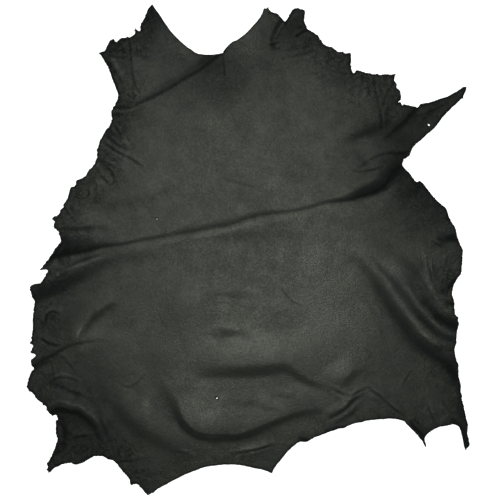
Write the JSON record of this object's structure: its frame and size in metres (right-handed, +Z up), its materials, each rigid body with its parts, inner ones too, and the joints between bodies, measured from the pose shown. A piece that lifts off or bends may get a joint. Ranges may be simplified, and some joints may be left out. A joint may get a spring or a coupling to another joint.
{
  "type": "leather_hide",
  "caption": "A whole dressed skin with its torn edges, soft and near black, lying grain side up in low folds.",
  "frame": {"origin": "on the surface that the skin lies on, under the middle of its box", "axes": "+Z up out of the grain side, +Y from the rump to the neck, +X to the right as seen from above"},
  "size_m": [0.885, 0.981, 0.0182],
  "materials": {
    "leather": "low sheen"
  },
  "bodies": {
    "root": {"hide": "leather"}
  },
  "joints": []
}
